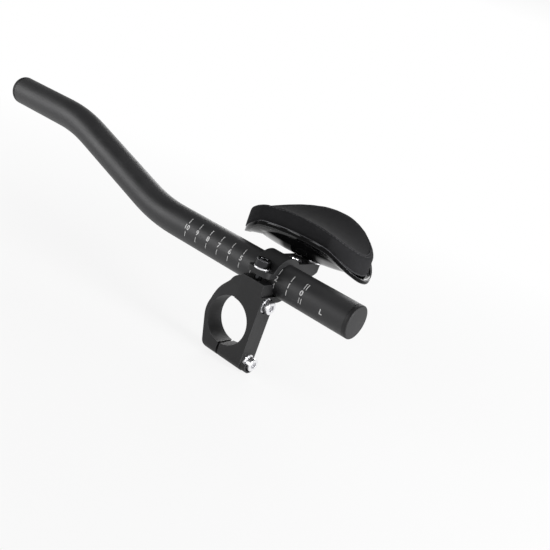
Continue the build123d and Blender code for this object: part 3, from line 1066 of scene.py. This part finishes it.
# %% Floor
FLOOR_SIZE = 40.0
FLOOR_GAP = 1.0 * MM
floor_mesh = bpy.data.meshes.new("floor")
half = FLOOR_SIZE / 2
floor_z = cad_low.z - FLOOR_GAP
floor_mesh.from_pydata(
    [(-half, -half, floor_z), (half, -half, floor_z), (half, half, floor_z), (-half, half, floor_z)],
    [],
    [(0, 1, 2, 3)],
)
floor = bpy.data.objects.new("floor", floor_mesh)
bpy.context.scene.collection.objects.link(floor)
floor_paint = bpy.data.materials.new("floor_paint")
floor_paint.use_nodes = True
tree = floor_paint.node_tree
paint = tree.nodes["Principled BSDF"]
paint.inputs["Base Color"].default_value = (0.85, 0.85, 0.85, 1.0)
paint.inputs["Roughness"].default_value = 0.9
paint.inputs["Specular IOR Level"].default_value = 0.0
white = place(tree, "ShaderNodeEmission", {"Color": (1.0, 1.0, 1.0, 1.0), "Strength": 1.0})
spot = place(tree, "ShaderNodeTexCoord")
away = place(tree, "ShaderNodeVectorMath", {0: spot.outputs["Object"]}, operation="LENGTH")
fade = place(
    tree,
    "ShaderNodeMapRange",
    {"Value": away.outputs["Value"], "From Min": 0.2, "From Max": 0.8, "To Min": 0.85, "To Max": 1.0},
)
share = place(
    tree, "ShaderNodeMath", {0: shows_white(tree), 1: fade.outputs["Result"]}, operation="MULTIPLY"
)
blend = place(
    tree,
    "ShaderNodeMixShader",
    {0: share.outputs["Value"], 1: paint.outputs["BSDF"], 2: white.outputs["Emission"]},
)
tree.links.new(blend.outputs["Shader"], tree.nodes["Material Output"].inputs["Surface"])
floor_mesh.materials.append(floor_paint)
print("Floor at", round(floor_z / MM, 1), "mm")

# %% Surround
world = bpy.data.worlds.new("surround")
bpy.context.scene.world = world
world.use_nodes = True
tree = world.node_tree
walls = place(tree, "ShaderNodeMapRange", {"Value": shows_white(tree), "To Min": 0.6, "To Max": 1.0})
heading = place(tree, "ShaderNodeTexCoord")
height = place(tree, "ShaderNodeSeparateXYZ", {"Vector": heading.outputs["Generated"]})
ceiling = place(
    tree,
    "ShaderNodeMapRange",
    {"Value": height.outputs["Z"], "From Min": 0.15, "From Max": 0.6, "To Min": 1.0, "To Max": 0.12},
)
strength = place(
    tree, "ShaderNodeMath", {0: walls.outputs["Result"], 1: ceiling.outputs["Result"]}, operation="MULTIPLY"
)
tree.links.new(strength.outputs["Value"], tree.nodes["Background"].inputs["Strength"])
tree.nodes["Background"].inputs["Color"].default_value = (1.0, 1.0, 1.0, 1.0)
print("Surround:", world.name)

# %% [markdown]
# Four broad square lamps leave long clean highlights. One stands low on the near side, one behind the
# tail, one on the far side and one overhead, which is weak. Each is given by its place from the
# middle of the object in metres, its size and its power.

# %% Lamps
middle = (cad_low + cad_high) / 2


def soft_lamp(name, offset, size, power):
    """A broad square lamp that faces the middle of the object."""
    lamp = bpy.data.lights.new(name, "AREA")
    lamp.shape = "SQUARE"
    lamp.size = size
    lamp.energy = power
    holder = bpy.data.objects.new(name, lamp)
    bpy.context.scene.collection.objects.link(holder)
    holder.location = middle + Vector(offset)
    holder.rotation_euler = Vector(offset).to_track_quat("Z", "Y").to_euler()


soft_lamp("near_sheet", offset=(0.42, 0.5, 0.06), size=0.4, power=2.2)
soft_lamp("rear_sheet", offset=(-0.98, 0.0, 0.2), size=0.3, power=10.0)
soft_lamp("far_sheet", offset=(0.35, -0.85, 0.4), size=0.6, power=4.0)
soft_lamp("top_sheet", offset=(0.0, 0.0, 1.0), size=0.9, power=1.5)
print("Lamps:", [lamp.name for lamp in bpy.data.lights])

# %% [markdown]
# ## Camera
# The camera stands where the photographer stood: behind the tail of the tube on the inner side, a
# little above, and rolled slightly.

# %% Camera
CAMERA_PLACE = Vector((-235.3, 344.9, 158.1)) * MM
CAMERA_FORWARD = Vector((0.505, -0.817, -0.278)).normalized()
CAMERA_UP = Vector((0.430, -0.041, 0.902))
IMAGE_SIZE = 550
FOCAL_PIXELS = 700.0
AXIS_PIXEL = (280.8, 276.3)
SENSOR = 36.0
camera_data = bpy.data.cameras.new("camera")
camera_data.sensor_width = SENSOR
camera_data.lens = SENSOR * FOCAL_PIXELS / IMAGE_SIZE
camera_data.shift_x = (IMAGE_SIZE / 2 - AXIS_PIXEL[0]) / IMAGE_SIZE
camera_data.shift_y = (AXIS_PIXEL[1] - IMAGE_SIZE / 2) / IMAGE_SIZE
camera_data.clip_start = 0.01
camera = bpy.data.objects.new("camera", camera_data)
bpy.context.scene.collection.objects.link(camera)
right = CAMERA_FORWARD.cross(CAMERA_UP).normalized()
upright = right.cross(CAMERA_FORWARD)
turn = Matrix((right, upright, -CAMERA_FORWARD)).transposed()
camera.matrix_world = Matrix.Translation(CAMERA_PLACE) @ turn.to_4x4()
bpy.context.scene.camera = camera
print("Lens in mm:", round(camera_data.lens, 1))

# %% Colours as they are written
bpy.context.scene.view_settings.view_transform = "Standard"
